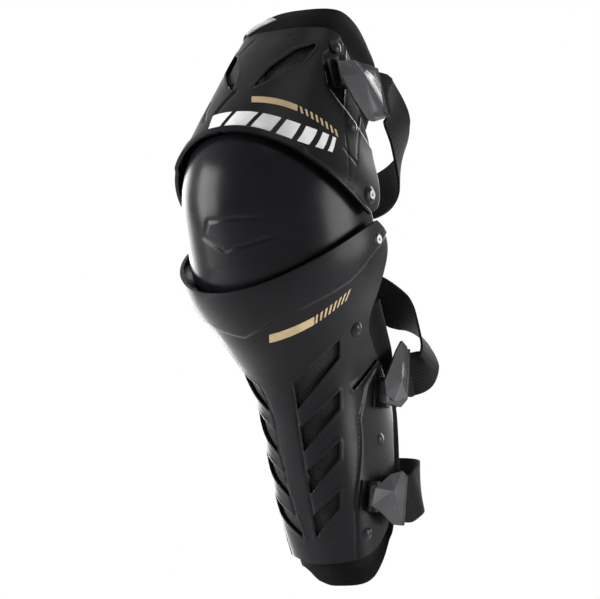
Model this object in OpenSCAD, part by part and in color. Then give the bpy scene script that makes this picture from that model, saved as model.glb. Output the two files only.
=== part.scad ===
// Hinged knee and shin guard for the left leg. A thigh shell and a shin shell hang on a domed
// knee cup by two pivots a side, padded inside and held on by three elastic straps with clips.
// The knee centre is the origin, +Z runs up the leg, -Y is the front and +X is the outer side.

/* [Knee] */
// Height of the thigh pivot above, and of the shin pivot below, the knee centre
pivot_rise = 18; // [15:1:24]
// Distance of the thigh pivot in front of, and of the shin pivot behind, the knee centre
pivot_offset = 5; // [0:1:8]
// Half the width of the knee cup across its pivots
cup_half_width = 79; // [65:1:95]
// Radius of the knee cup in side view, from a pivot to its front
cup_reach = 96; // [80:1:116]
// Angle that the knee cup reaches past the front, under each shell
cup_wrap = 62; // [56:1:66]
// Running gap between the front of the knee cup and the shells over it
cup_gap = 1.5; // [1.2:0.1:2.5]
// Gap between the side of the knee cup and a shell's ear, filled by a spacer
spacer_gap = 5; // [3:0.5:6]

/* [Shells] */
// Length of the thigh shell from its pivot
thigh_length = 143; // [119:1:172]
// Lean of the thigh shell to the rear
thigh_lean = 9; // [5:1:14]
// Length of the shin shell from its pivot
shin_length = 264; // [220:1:318]
// Lean of the shin shell to the rear
shin_lean = 16; // [10:1:20]
// Wall of the thigh and shin shells
shell_wall = 3; // [2.4:0.1:3.6]
// Wall of the knee cup
cup_wall = 3; // [2.4:0.1:3.6]
// Radius of the round ears that carry the pivots
ear_radius = 16; // [13:0.5:17]

/* [Pads] */
// Thickness of the thigh and shin pads
pad_thick = 8; // [6:0.5:9.6]
// Thickness of the pad in the knee cup
knee_pad_thick = 9; // [7:0.5:11]
// Thickness of the mesh behind the vents
mesh_thick = 1; // [0.8:0.1:1.4]
// Clearance between soft layers and the shells that they line
lining_gap = 0.4; // [0.3:0.1:0.6]

/* [Fastenings] */
// Diameter of the pivot pins
pivot_pin_d = 9; // [7.5:0.1:10.8]
// Diameter of a pivot cap
pivot_cap_d = 15; // [13:0.5:18]
// Running clearance between a pin and its bore, on the diameter
running_fit = 0.16; // [0.08:0.02:0.18]
// Diameter of a rivet's domed head
rivet_head_d = 12.5; // [10:0.5:14]
// Diameter of a rivet's shank
rivet_d = 5; // [4:0.1:6]

/* [Clips and straps] */
// Width of the strap webbing
strap_width = 38; // [32:1:45]
// Thickness of the strap webbing
strap_thick = 2.4; // [1.8:0.1:2.8]
// Diameter of the steel pin that a clip swings on
clip_pin_d = 4; // [3.4:0.1:4.8]
// Length of a clip's hook barrel along its pin
barrel_length = 17; // [14:0.5:20]
// Distance from a clip's pin to its strap slot
clip_reach = 33; // [28:1:38]
// Thickness of a clip's body
clip_thick = 7; // [6:0.5:8]

/* [Hidden] */

COLS = 12;                      // columns of a sheet from its front line to its rear edge
SLIP = 0.2;                     // clearance on the diameter of a fixed fit
thigh_pivot = [-pivot_offset, pivot_rise];
shin_pivot = [pivot_offset, -pivot_rise];
shell_reach = cup_reach + cup_gap + shell_wall;
shell_half_width = cup_half_width + spacer_gap + shell_wall;
cup_tilt = atan2(pivot_offset, pivot_rise);
pad_depth = shell_wall + mesh_thick + 2 * lining_gap;

// A limb is [pivot, direction along it, direction to the front, table of sections]. A place on a
// shell is given in side view, as [y, z], and the half width there follows from the sections.
// A section is [distance along the limb, reach to the front, half width, squareness]. Those that
// pass over the cup are spaced by its reach, and the rest by the length of shell left past it.
thigh_dir = [sin(thigh_lean), cos(thigh_lean)];
shin_dir = [sin(shin_lean), -cos(shin_lean)];
function past(start, length, share) = start + share * (length - start);
thigh_free = 0.506 * cup_reach;
shin_free = 1.0175 * cup_reach;
thigh_sections = [
    [0, shell_reach, shell_half_width, 2.1],
    [0.194 * cup_reach, shell_reach - 1.5, shell_half_width - 3, 2.1],
    [thigh_free, shell_reach - 11, shell_half_width - 13.5, 2.1],
    [past(thigh_free, thigh_length, 0.3336), shell_reach - 28, shell_half_width - 22, 2.2],
    [past(thigh_free, thigh_length, 0.7577), shell_reach - 51, shell_half_width - 32, 2.4],
    [thigh_length, shell_reach - 65, shell_half_width - 38, 2.5],
    [past(thigh_free, thigh_length, 1.1817), shell_reach - 73, shell_half_width - 42, 2.5]];
shin_sections = [
    [0, shell_reach + 4, shell_half_width, 2],
    [0.275 * cup_reach, shell_reach + 3.5, shell_half_width - 6, 2],
    [0.66 * cup_reach, shell_reach - 17, shell_half_width - 22.5, 2],
    [shin_free, shell_reach - 40, shell_half_width - 34, 2],
    [past(shin_free, shin_length, 0.1746), shell_reach - 51, shell_half_width - 39.5, 2.1],
    [past(shin_free, shin_length, 0.3968), shell_reach - 53, shell_half_width - 42, 2.2],
    [past(shin_free, shin_length, 0.6984), shell_reach - 57, shell_half_width - 44, 2.3],
    [shin_length, shell_reach - 66, shell_half_width - 49, 2.3],
    [past(shin_free, shin_length, 1.1905), shell_reach - 71, shell_half_width - 53, 2.3]];
thigh = [thigh_pivot, thigh_dir, [-thigh_dir[1], thigh_dir[0]], thigh_sections];
shin = [shin_pivot, shin_dir, [shin_dir[1], -shin_dir[0]], shin_sections];

// Row of a table that t falls in, and the smooth reading of its column c at t.
function row_of(table, t, k = 0) =
    k >= len(table) - 2 || t < table[k + 1][0] ? k : row_of(table, t, k + 1);
function slope(table, c, k) = k == 0 ? 0 :
    let (b = min(k + 1, len(table) - 1))
    (table[b][c] - table[k - 1][c]) / (table[b][0] - table[k - 1][0]);
function fair(table, c, t) =
    let (k = row_of(table, t), h = table[k + 1][0] - table[k][0], u = (t - table[k][0]) / h)
    table[k][c] * (2 * u ^ 3 - 3 * u ^ 2 + 1) + slope(table, c, k) * h * (u ^ 3 - 2 * u ^ 2 + u)
    + table[k + 1][c] * (3 * u ^ 2 - 2 * u ^ 3) + slope(table, c, k + 1) * h * (u ^ 3 - u ^ 2);

// Point at share u of a smooth curve through a list of points.
function along(points, u) =
    let (n = len(points) - 1, k = min(floor(u * n), n - 1), s = u * n - k,
        a = points[max(k - 1, 0)], b = points[k], c = points[k + 1], d = points[min(k + 2, n)])
    b + s * (c - a) / 2 + s ^ 2 * (2 * a - 5 * b + 4 * c - d) / 2 + s ^ 3 * (3 * b - a - 3 * c + d) / 2;

// Half width of a limb's outer surface at a side-view point. Round the pivot it is a dome turned
// about the pivot, along the limb it is a rounded section, and to the rear it curls in a little.
function half_width(limb, p) =
    let (q = p - limb[0], t = q * limb[1], r = q * limb[2], near = max(0, 1 - max(t, 0) / 40),
        rho = t < 0 ? norm(q) : r > 0 ? r : -r * (0.5 + 0.5 * near ^ 2),
        reach = fair(limb[3], 1, max(t, 0)), width = fair(limb[3], 2, max(t, 0)),
        k = fair(limb[3], 3, max(t, 0)))
    width * max(0, 1 - (rho / reach) ^ k) ^ (1 / k);
function front(limb, t) = limb[0] + t * limb[1] + fair(limb[3], 1, t) * limb[2];

// The cup is a dome turned about each pivot, with a straight stretch from one to the other.
function cup_width_at(p) =
    let (axis = thigh_pivot - shin_pivot, q = p - shin_pivot,
        s = min(1, max(0, q * axis / (axis * axis))), rho = norm(q - s * axis))
    cup_half_width * sqrt(max(0, 1 - (rho / cup_reach) ^ 2));
function width_at(kind, p) = kind == "cup" ? cup_width_at(p) : half_width(kind, p);
function cup_front(pivot, angle) = pivot + cup_reach * [-cos(angle), sin(angle)];
function cup_fronts(from, to, rows) = concat(
    [for (k = [0 : rows]) cup_front(shin_pivot, from + (-cup_tilt - from) * k / rows)],
    [for (k = [0 : rows]) cup_front(thigh_pivot, -cup_tilt + (to + cup_tilt) * k / rows)]);

// A sheet is a grid of points. Its rows run from the left edge over the front to the right edge.
// In side view a row goes from the front line to the rear edge, bowed by low or high at the ends.
function unit(v) = v / norm(v);
function rows_of(kind, fronts, rears, low, high, cols = COLS) =
    [for (j = [0 : len(fronts) - 1]) let (w = j / (len(fronts) - 1), f = fronts[j], b = along(rears, w))
        [for (i = [-cols : cols])
            let (e = 1 - cos(90 * abs(i) / cols), hump = 4 * e * (1 - e),
                p = f + e * (b - f) + hump * ((1 - w) ^ 3 * low + w ^ 3 * high),
                x = i == 0 ? 0 : width_at(kind, p))
            [sign(i) * x, p[0], p[1]]]];
function limb_fronts(limb, from, to, rows) =
    [for (j = [0 : rows]) front(limb, from + (to - from) * j / rows)];
function outward(kind, p) = let (d = 0.1)
    unit([1, (width_at(kind, p - [d, 0]) - width_at(kind, p + [d, 0])) / 2 / d,
        (width_at(kind, p - [0, d]) - width_at(kind, p + [0, d])) / 2 / d]);
function out_from(kind, q) = let (n = outward(kind, [q[1], q[2]])) unit([sign(q[0]) * n[0], n[1], n[2]]);
function sunk(kind, g, depth) = [for (row = g) [for (q = row) q - depth * out_from(kind, q)]];
function upward(g) = g[len(g) - 1][COLS][2] > g[0][COLS][2] ? g : [for (j = [len(g) - 1 : -1 : 0]) g[j]];

// Closed solid from depth top below a sheet to depth top + wall.
module solid_sheet(kind, sheet, top, wall) {
    g = upward(sheet);
    m = len(g);
    n = len(g[0]);
    points = [for (depth = [top, top + wall], row = sunk(kind, g, depth)) each row];
    function at(j, i, side) = side * m * n + j * n + i;
    skins = [for (j = [0 : m - 2], i = [0 : n - 2]) each [
        [at(j, i, 0), at(j + 1, i, 0), at(j + 1, i + 1, 0)],
        [at(j, i, 0), at(j + 1, i + 1, 0), at(j, i + 1, 0)],
        [at(j, i, 1), at(j + 1, i + 1, 1), at(j + 1, i, 1)],
        [at(j, i, 1), at(j, i + 1, 1), at(j + 1, i + 1, 1)]]];
    ring = concat([for (i = [0 : n - 1]) [0, i]], [for (j = [1 : m - 1]) [j, n - 1]],
        [for (i = [n - 2 : -1 : 0]) [m - 1, i]], [for (j = [m - 2 : -1 : 1]) [j, 0]]);
    rims = [for (k = [0 : len(ring) - 1]) let (a = ring[k], b = ring[(k + 1) % len(ring)]) each [
        [at(a[0], a[1], 0), at(b[0], b[1], 0), at(b[0], b[1], 1)],
        [at(a[0], a[1], 0), at(b[0], b[1], 1), at(a[0], a[1], 1)]]];
    polyhedron(points, concat(skins, rims), convexity = 8);
}

// Side-view outlines of the shells' rear edges, from the ear away from the knee.
thigh_ear = [for (a = [-90, -30, 30]) thigh_pivot + ear_radius * [cos(a) + (a > 0 ? 0.2 : 0), sin(a)]];
thigh_rear = concat(thigh_ear, [[14, 46], [18, 70], [12, 104], [18, 134]]);
shin_ear = [for (a = [90, 30, -30]) shin_pivot + ear_radius * [cos(a) + (a < 0 ? 0.4 : 0), sin(a)]];
shin_rear = concat(shin_ear,
    [[28, -60], [32, -86], [60, -108], [94, -140], [98, -180], [96, -222], [90, -248]]);

module thigh_outer(top, wall) solid_sheet(thigh, rows_of(thigh, limb_fronts(thigh,
    0.235 * thigh_length, thigh_length, 18), thigh_rear, [3, -6], [6, 10]), top, wall);
module shin_outer(top, wall) solid_sheet(shin, rows_of(shin, limb_fronts(shin,
    0.078 * shin_length, shin_length, 30), shin_rear, [3, 6], [2, -6]), top, wall);

// Knee cup: rows from under the shin shell over the front to under the thigh shell.
cup_rear = concat([for (q = [[0, -1], [0.9, -0.3], [0.9, 0.5]]) shin_pivot + (ear_radius - 2) * q],
    [for (q = [[1, -0.5], [0.9, 0.3], [0, 1]]) thigh_pivot + (ear_radius - 2) * q]);
module cup_sheet(fronts, rear, top, wall)
    solid_sheet("cup", rows_of("cup", fronts, rear, [0, 0], [0, 0]), top, wall);

// Moves its children to a place on a shell: +X to the rear, +Y up the leg and +Z outwards.
module on_shell(limb, p, side = 1) {
    n = outward(limb, p);
    mirror([side < 0 ? 1 : 0, 0, 0]) translate([half_width(limb, p), p[0], p[1]])
        rotate([0, acos(n[2]), atan2(n[1], n[0])]) rotate([0, 0, 90]) children();
}
// The same place as numbers: where a point of that local frame lies.
function placed(limb, p, v, side = 1) =
    let (n = outward(limb, p), x = unit([-n[1], n[0], 0]), y = cross(n, x),
        w = [half_width(limb, p), p[0], p[1]] + v[0] * x + v[1] * y + v[2] * n)
    [side * w[0], w[1], w[2]];

module bore(d, from, to) translate([0, 0, from]) cylinder(d = d, h = to - from, $fn = 32);
module ring(d, hole, from, to) difference() {
    bore(d, from, to);
    bore(hole, from - 1, to + 1);
}
module dome(d, h) rotate_extrude($fn = 48) intersection() {
    translate([0, h - (h * h + d * d / 4) / (2 * h)]) circle(r = (h * h + d * d / 4) / (2 * h), $fn = 96);
    square([d, 2 * h]);
}

// Rivets through the shells, each with a washer behind and a pocket for it in the lining.
rivet_lift = 0.35;
washer_thick = 1.2;
washer_depth = shell_wall + 0.8;
rivet_end = washer_depth + washer_thick + 1.2;
thigh_rivet_places = [[-2, 148], [-6, 78]];
shin_rivet_places = [[14, -90], [73, -176], [60, -256]];
module at_rivets(limb, places) for (p = places, side = [-1, 1]) on_shell(limb, p, side) children();
module rivet(lift = rivet_lift) {
    translate([0, 0, lift]) dome(rivet_head_d, 3);
    bore(rivet_d, -rivet_end, lift + 0.01);
    bore(rivet_d + 3, -rivet_end, -washer_depth - washer_thick - SLIP);
}
module rivet_washer() ring(rivet_head_d - 1, rivet_d + SLIP, -washer_depth - washer_thick, -washer_depth);
module rivet_bore() bore(rivet_d + SLIP, -20, 20);
module rivet_pocket() bore(rivet_head_d + 2, -rivet_end - 0.6, 1);

// Pivots: a capped pin from inside the cup, through a spacer, to the outside of the shell's ear.
nut_face = cup_half_width - cup_wall - 0.7;
nut_thick = 3;
cap_face = shell_half_width + 0.25;
ear_fall = 1.4;                 // room for the slope of an ear's inner face over a spacer
module at_pivot(pivot, side) mirror([side < 0 ? 1 : 0, 0, 0])
    translate([0, pivot[0], pivot[1]]) rotate([0, 90, 0]) children();
module at_pivots(pivots) for (pivot = pivots, side = [-1, 1]) at_pivot(pivot, side) children();
module pivot_pin() {
    bore(pivot_pin_d, nut_face - nut_thick - 1, cap_face + 0.01);
    translate([0, 0, cap_face]) dome(pivot_cap_d, 2.6);
}
module pivot_bore(fit) bore(pivot_pin_d + fit, cup_half_width / 2, shell_half_width * 2);

// Vents, drawn flat and cut at an angle through the front corner of a shell, left and right.
vent_turn = 35;
thigh_vent = [[-29, 107], [-15, 126], [7, 143], [24, 149], [23, 145], [13, 131], [-3, 122], [-20, 111]];
vent_pitch = 40.7;
vent_outer = 43.5;
function vent_inner(k) = 6 + 5.2 * k;
function shin_vent(k) = let (top = -100 - vent_pitch * k, run = vent_outer - vent_inner(k))
    [[vent_inner(k), top - 0.92 * run], [vent_outer, top], [vent_outer, top - 14],
        [vent_inner(k) + 3, top - 14 - 1.22 * (run - 3)]];
module vent_cuts(outlines) for (side = [0, 1]) mirror([side, 0, 0]) rotate([90, 0, vent_turn])
    for (outline = outlines) translate([0, 0, -50]) linear_extrude(150) polygon(outline);
shin_vents = [for (k = [0 : 3]) shin_vent(k)];

// Slit that frees the top corner of each shin wing.
slit_end = [29, -137];
slit_mouth = [64, -106];
slit_width = 3.5;
module wing_slits() {
    run = slit_mouth - slit_end;
    translate([0, slit_end[0], slit_end[1]]) rotate([atan2(run[1], run[0]), 0, 0]) {
        translate([-100, 0, -slit_width / 2]) cube([200, norm(run) + 10, slit_width]);
        rotate([0, 90, 0]) cylinder(d = slit_width, h = 200, center = true, $fn = 24);
    }
}

// Clips: a seat with two lugs on the shell, a steel pin in the lugs, and a clip that swings on it.
seat_lift = 0.45;
seat_thick = 2.2;
barrel_d = clip_pin_d + 5;
pin_height = seat_lift + seat_thick + 0.4 + barrel_d / 2;
lug_gap = 0.35;
lug_thick = 4;
seat_half = barrel_length / 2 + lug_gap + lug_thick;
post_end = shell_wall + 4;
post_places = [for (s = [-1, 1]) [-6, s * (seat_half - 4.5)]];
thigh_seat_place = [-8, 122];
upper_seat_place = [66, -137];
lower_seat_place = [56, -225];
module seat() {
    difference() {
        union() {
            translate([-10, -seat_half, seat_lift]) cube([19, 2 * seat_half, seat_thick]);
            for (s = [-1, 1]) translate([0, s * (seat_half - lug_thick / 2), 0]) {
                translate([-barrel_d / 2, -lug_thick / 2, seat_lift + 1])
                    cube([barrel_d, lug_thick, pin_height - seat_lift - 1]);
                translate([0, 0, pin_height]) rotate([90, 0, 0])
                    cylinder(d = barrel_d, h = lug_thick, center = true, $fn = 32);
            }
        }
        translate([0, 0, pin_height]) rotate([90, 0, 0])
            cylinder(d = clip_pin_d + SLIP, h = 3 * seat_half, center = true, $fn = 32);
    }
    for (q = post_places) translate([q[0], q[1], 0]) bore(rivet_d, -post_end, seat_lift + 1);
}
module post_bores() for (q = post_places) translate([q[0], q[1], 0]) bore(rivet_d + SLIP, -20, 20);
module post_pockets() for (q = post_places) translate([q[0], q[1], 0]) bore(rivet_d + 7, -post_end - 0.6, 1);
module post_nuts() for (q = post_places) translate([q[0], q[1], 0])
    ring(rivet_d + 5, rivet_d + SLIP, -shell_wall - 3.7, -shell_wall - 2.5);
module clip_pin() translate([0, 0, pin_height]) rotate([90, 0, 0])
    cylinder(d = clip_pin_d, h = 2 * seat_half, center = true, $fn = 32);
slot_depth = 9;
clip_end = clip_reach + 7;
clip_low = pin_height - clip_thick / 2;
slot_room = 0.8;
strap_lead = 7;                 // straight stretch of a strap past its clip, before the first bend
function clip_outline(rise) = let (b = barrel_length / 2, s = strap_width / 2 + 2.5)
    [[0, b], [barrel_d / 2 + 1.5, b], [clip_end - 12, rise > 0 ? rise + s - 6 : b + 1], [clip_end, rise + s],
        [clip_end, rise - s], [clip_end - 12, rise < 0 ? rise - s + 6 : -b - 1],
        [barrel_d / 2 + 1.5, -b], [0, -b]];
module clip(rise) difference() {
    union() {
        translate([0, 0, pin_height]) rotate([90, 0, 0])
            cylinder(d = barrel_d, h = barrel_length, center = true, $fn = 32);
        translate([0, 0, clip_low]) linear_extrude(clip_thick) polygon(clip_outline(rise));
    }
    translate([0, 0, pin_height]) rotate([90, 0, 0])
        cylinder(d = clip_pin_d + running_fit, h = 2 * barrel_length, center = true, $fn = 32);
    translate([clip_end - slot_depth, rise - strap_width / 2 - slot_room,
        pin_height - strap_thick / 2 - slot_room])
        cube([slot_depth + 1, strap_width + 2 * slot_room, strap_thick + 2 * slot_room]);
}
thigh_rise = -14;
upper_rise = 20;
lower_rise = 0;

// Straps: each starts in its clip's slot, follows its route round the leg and ends flat on the
// inner side of its shell, under an anchor plate. The webbing faces away from the leg's middle.
strap_middle = 40;
anchor_lift = 1;
plate_size = [13, 26, 2];
plate_base = anchor_lift + strap_thick + 0.2;
module anchor_plate() difference() {
    translate([-plate_size[0] / 2, -plate_size[1] / 2, plate_base]) cube(plate_size);
    bore(rivet_d + SLIP, 0, 20);
}
module anchor_rivet() rivet(plate_base + plate_size[2] + 0.15);
thigh_anchor = [-3, 53];
upper_anchor = [12, -50];
lower_anchor = [70, -222];
module at_anchor(limb, p) on_shell(limb, p, -1) children();
function strap_points(limb, seat, rise, anchor, mid) = concat(
    [for (x = [clip_end - slot_depth + 1, clip_end + strap_lead]) placed(limb, seat, [x, rise, pin_height])],
    mid,
    [for (x = [16, 7, -7]) placed(limb, anchor, [x, 0, anchor_lift + strap_thick / 2], -1)]);
module strap(points, clip_out, anchor_out, rings_each = 2) {
    bends = [for (k = [1 : len(points) - 1]) points[k]];
    last = rings_each * (len(bends) - 1) + 1;
    route = [points[0], for (k = [1 : last]) along(bends, (k - 1) / (last - 1))];
    function share(k) = max(0, min(1, 2 - 6 * k / last));
    function facing(k) = let (p = route[k], at_clip = share(k), at_anchor = share(last - k))
        at_clip * clip_out + at_anchor * anchor_out
        + (1 - at_clip - at_anchor) * unit([p[0], p[1] - strap_middle, 0]);
    corners = [for (k = [0 : last]) let (
        t = unit(route[k < 2 ? 1 : min(k + 1, last)] - route[max(k - 1, 0)]),
        w = unit(cross(facing(k), t)), n = cross(t, w))
        for (q = [[-1, -1], [1, -1], [1, 1], [-1, 1]])
            route[k] + q[0] * strap_width / 2 * w + q[1] * strap_thick / 2 * n];
    sides = [for (k = [0 : last - 1], i = [0 : 3]) let (a = 4 * k + i, b = 4 * k + (i + 1) % 4) each [
        [a, a + 4, b + 4], [a, b + 4, b]]];
    far = 4 * last;
    ends = [[0, 1, 2], [0, 2, 3], [far + 2, far + 1, far], [far + 3, far + 2, far]];
    polyhedron(corners, concat(sides, ends), convexity = 6);
}
function out_at(limb, p, side = 1) = let (n = outward(limb, p)) [side * n[0], n[1], n[2]];
thigh_route = strap_points(thigh, thigh_seat_place, thigh_rise, thigh_anchor, [[74, 50, 100],
    [73, 62, 80], [62, 78, 56], [44, 92, 44], [18, 104, 38], [-14, 106, 37], [-46, 90, 39],
    [-70, 56, 44]]);
upper_route = strap_points(shin, upper_seat_place, upper_rise, upper_anchor, [[58, 126, -110],
    [55, 128, -92], [42, 118, -68], [21, 109, -51], [0, 107, -43], [-26, 101, -39],
    [-52, 84, -41], [-70, 56, -46]]);
lower_route = strap_points(shin, lower_seat_place, lower_rise, lower_anchor, [[54, 117, -217],
    [40, 136, -207], [12, 146, -203], [-16, 144, -204], [-40, 128, -208], [-50, 106, -214]]);

module thigh_shell() color("#2b2b2e") difference() {
    thigh_outer(0, shell_wall);
    at_pivots([thigh_pivot]) pivot_bore(running_fit);
    vent_cuts([thigh_vent]);
    at_rivets(thigh, thigh_rivet_places) rivet_bore();
    on_shell(thigh, thigh_seat_place) post_bores();
    at_anchor(thigh, thigh_anchor) rivet_bore();
}
module shin_shell() color("#4a4a4e") difference() {
    shin_outer(0, shell_wall);
    at_pivots([shin_pivot]) pivot_bore(running_fit);
    vent_cuts(shin_vents);
    wing_slits();
    at_rivets(shin, shin_rivet_places) rivet_bore();
    on_shell(shin, upper_seat_place) post_bores();
    on_shell(shin, lower_seat_place) post_bores();
    at_anchor(shin, upper_anchor) rivet_bore();
    at_anchor(shin, lower_anchor) rivet_bore();
}
module knee_cup() color("#3a3a3e") difference() {
    cup_sheet(cup_fronts(-cup_wrap, cup_wrap, 7), cup_rear, 0, cup_wall);
    at_pivots([thigh_pivot, shin_pivot]) pivot_bore(SLIP);
}
module knee_pad() color("#1c1c1e") cup_sheet(cup_fronts(-40, 40, 5),
    [[-24, -52], [-30, -20], [-30, 20], [-34, 56]], cup_wall + lining_gap, knee_pad_thick);

module thigh_mesh() color("#202022") difference() {
    solid_sheet(thigh, rows_of(thigh, limb_fronts(thigh, 0.66 * thigh_length, 0.97 * thigh_length, 6),
        [[-42, 88], [-22, 112], [-4, 146]], [0, 0], [0, 0], 8), shell_wall + lining_gap, mesh_thick);
    at_rivets(thigh, thigh_rivet_places) rivet_pocket();
    on_shell(thigh, thigh_seat_place) post_pockets();
}
module shin_mesh() color("#202022") difference() {
    solid_sheet(shin, rows_of(shin, limb_fronts(shin, 0.36 * shin_length, 0.97 * shin_length, 14),
        [[10, -92], [30, -140], [44, -200], [54, -250]], [0, 0], [0, 0], 8),
        shell_wall + lining_gap, mesh_thick);
    at_rivets(shin, shin_rivet_places) rivet_pocket();
    on_shell(shin, upper_seat_place) post_pockets();
    on_shell(shin, lower_seat_place) post_pockets();
}
module thigh_pad() color("#1a1a1c") difference() {
    solid_sheet(thigh, rows_of(thigh, limb_fronts(thigh, 0.72 * thigh_length, 1.13 * thigh_length, 10),
        [[6, 58], [24, 78], [48, 104], [62, 128], [62, 148]], [0, 0], [4, 12]), pad_depth, pad_thick);
    at_rivets(thigh, thigh_rivet_places) rivet_pocket();
    on_shell(thigh, thigh_seat_place) post_pockets();
    at_anchor(thigh, thigh_anchor) rivet_pocket();
}
module shin_pad() color("#1a1a1c") difference() {
    solid_sheet(shin, rows_of(shin, limb_fronts(shin, 0.34 * shin_length, 1.075 * shin_length, 22),
        [[34, -62], [66, -84], [98, -108], [112, -146], [112, -186], [107, -222], [100, -250]],
        [0, 0], [4, -14]), pad_depth, pad_thick);
    at_rivets(shin, shin_rivet_places) rivet_pocket();
    on_shell(shin, upper_seat_place) post_pockets();
    on_shell(shin, lower_seat_place) post_pockets();
    at_anchor(shin, upper_anchor) rivet_pocket();
    at_anchor(shin, lower_anchor) rivet_pocket();
}

module thigh_rivets() color("#1f1f21") {
    at_rivets(thigh, thigh_rivet_places) rivet();
    at_anchor(thigh, thigh_anchor) anchor_rivet();
}
module thigh_rivet_washers() color("#9a9a9e") {
    at_rivets(thigh, thigh_rivet_places) rivet_washer();
    at_anchor(thigh, thigh_anchor) rivet_washer();
}
module shin_rivets() color("#1f1f21") {
    at_rivets(shin, shin_rivet_places) rivet();
    for (p = [upper_anchor, lower_anchor]) at_anchor(shin, p) anchor_rivet();
}
module shin_rivet_washers() color("#9a9a9e") {
    at_rivets(shin, shin_rivet_places) rivet_washer();
    for (p = [upper_anchor, lower_anchor]) at_anchor(shin, p) rivet_washer();
}
module thigh_seat() color("#303033") on_shell(thigh, thigh_seat_place) seat();
module thigh_clip_pin() color("#b0b0b4") on_shell(thigh, thigh_seat_place) clip_pin();
module thigh_clip() color("#77777c") on_shell(thigh, thigh_seat_place) clip(thigh_rise);
module thigh_seat_nuts() color("#9a9a9e") on_shell(thigh, thigh_seat_place) post_nuts();
module shin_upper_seat() color("#303033") on_shell(shin, upper_seat_place) seat();
module shin_upper_clip_pin() color("#b0b0b4") on_shell(shin, upper_seat_place) clip_pin();
module shin_upper_clip() color("#8c8c91") on_shell(shin, upper_seat_place) clip(upper_rise);
module shin_lower_seat() color("#303033") on_shell(shin, lower_seat_place) seat();
module shin_lower_clip_pin() color("#b0b0b4") on_shell(shin, lower_seat_place) clip_pin();
module shin_lower_clip() color("#77777c") on_shell(shin, lower_seat_place) clip(lower_rise);
module shin_seat_nuts() color("#9a9a9e")
    for (p = [upper_seat_place, lower_seat_place]) on_shell(shin, p) post_nuts();
module thigh_anchor_plate() color("#2a2a2c") at_anchor(thigh, thigh_anchor) anchor_plate();
module shin_anchor_plates() color("#2a2a2c")
    for (p = [upper_anchor, lower_anchor]) at_anchor(shin, p) anchor_plate();
module thigh_strap() color("#39393c") difference() {
    strap(thigh_route, out_at(thigh, thigh_seat_place), out_at(thigh, thigh_anchor, -1));
    at_anchor(thigh, thigh_anchor) rivet_bore();
}
module shin_upper_strap() color("#39393c") difference() {
    strap(upper_route, out_at(shin, upper_seat_place), out_at(shin, upper_anchor, -1));
    at_anchor(shin, upper_anchor) rivet_bore();
}
module shin_lower_strap() color("#39393c") difference() {
    strap(lower_route, out_at(shin, lower_seat_place), out_at(shin, lower_anchor, -1));
    at_anchor(shin, lower_anchor) rivet_bore();
}
module thigh_pivot_pin_outer() color("#151517") at_pivot(thigh_pivot, 1) pivot_pin();
module thigh_pivot_pin_inner() color("#151517") at_pivot(thigh_pivot, -1) pivot_pin();
module shin_pivot_pin_outer() color("#151517") at_pivot(shin_pivot, 1) pivot_pin();
module shin_pivot_pin_inner() color("#151517") at_pivot(shin_pivot, -1) pivot_pin();
module pivot_spacers() color("#88888c") at_pivots([thigh_pivot, shin_pivot])
    ring(pivot_pin_d + 5, pivot_pin_d + SLIP, cup_half_width + 0.2,
        shell_half_width - shell_wall - ear_fall);
module pivot_nuts() color("#88888c") at_pivots([thigh_pivot, shin_pivot])
    ring(pivot_pin_d + 7, pivot_pin_d + SLIP, nut_face - nut_thick, nut_face);

shin_shell();
shin_mesh();
shin_pad();
shin_rivets();
shin_rivet_washers();
shin_upper_seat();
shin_upper_clip_pin();
shin_upper_clip();
shin_upper_strap();
shin_lower_seat();
shin_lower_clip_pin();
shin_lower_clip();
shin_lower_strap();
shin_seat_nuts();
shin_anchor_plates();
knee_cup();
knee_pad();
thigh_pivot_pin_outer();
thigh_pivot_pin_inner();
shin_pivot_pin_outer();
shin_pivot_pin_inner();
pivot_spacers();
pivot_nuts();
thigh_shell();
thigh_mesh();
thigh_pad();
thigh_rivets();
thigh_rivet_washers();
thigh_seat();
thigh_clip_pin();
thigh_clip();
thigh_strap();
thigh_seat_nuts();
thigh_anchor_plate();
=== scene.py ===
# %% [markdown]
# # A hinged knee and shin guard
# The guard is a hard thigh shell and a hard shin shell that turn on a domed knee cup, lined with
# pads and held on by three elastic straps. The CAD model gives every size, pivot and rivet. This
# script dresses it: shells with rims, vents and creases, quilted pads, woven webbing and clips.

# %% Load the frame and note its size
import math

import bpy
import numpy as np
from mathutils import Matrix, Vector


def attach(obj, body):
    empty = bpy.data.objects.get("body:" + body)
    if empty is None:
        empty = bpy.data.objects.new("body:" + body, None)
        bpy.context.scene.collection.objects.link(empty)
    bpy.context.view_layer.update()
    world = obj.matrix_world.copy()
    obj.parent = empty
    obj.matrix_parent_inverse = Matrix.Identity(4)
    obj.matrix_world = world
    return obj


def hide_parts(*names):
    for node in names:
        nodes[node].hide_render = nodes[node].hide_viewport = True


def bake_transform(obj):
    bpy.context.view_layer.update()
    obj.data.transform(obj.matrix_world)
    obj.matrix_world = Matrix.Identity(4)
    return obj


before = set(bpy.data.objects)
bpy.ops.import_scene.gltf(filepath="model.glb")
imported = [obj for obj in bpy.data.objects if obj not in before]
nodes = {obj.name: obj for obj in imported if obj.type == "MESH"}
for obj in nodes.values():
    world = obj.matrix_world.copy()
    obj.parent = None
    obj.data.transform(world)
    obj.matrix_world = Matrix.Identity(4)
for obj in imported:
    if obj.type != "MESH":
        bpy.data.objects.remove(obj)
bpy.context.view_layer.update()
MM = 0.001

# %% [markdown]
# ## Camera, light and floor
# A guard like this is sold from a catalogue picture: a long lens, a three-quarter view from a
# little below, and big soft lights that draw broad highlights down the black plastic. A long
# lens keeps the shin and the thigh in true proportion. The backdrop is white where it is seen
# directly, in a gloss or through glass, and dim otherwise, so it barely lights the guard.

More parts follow.
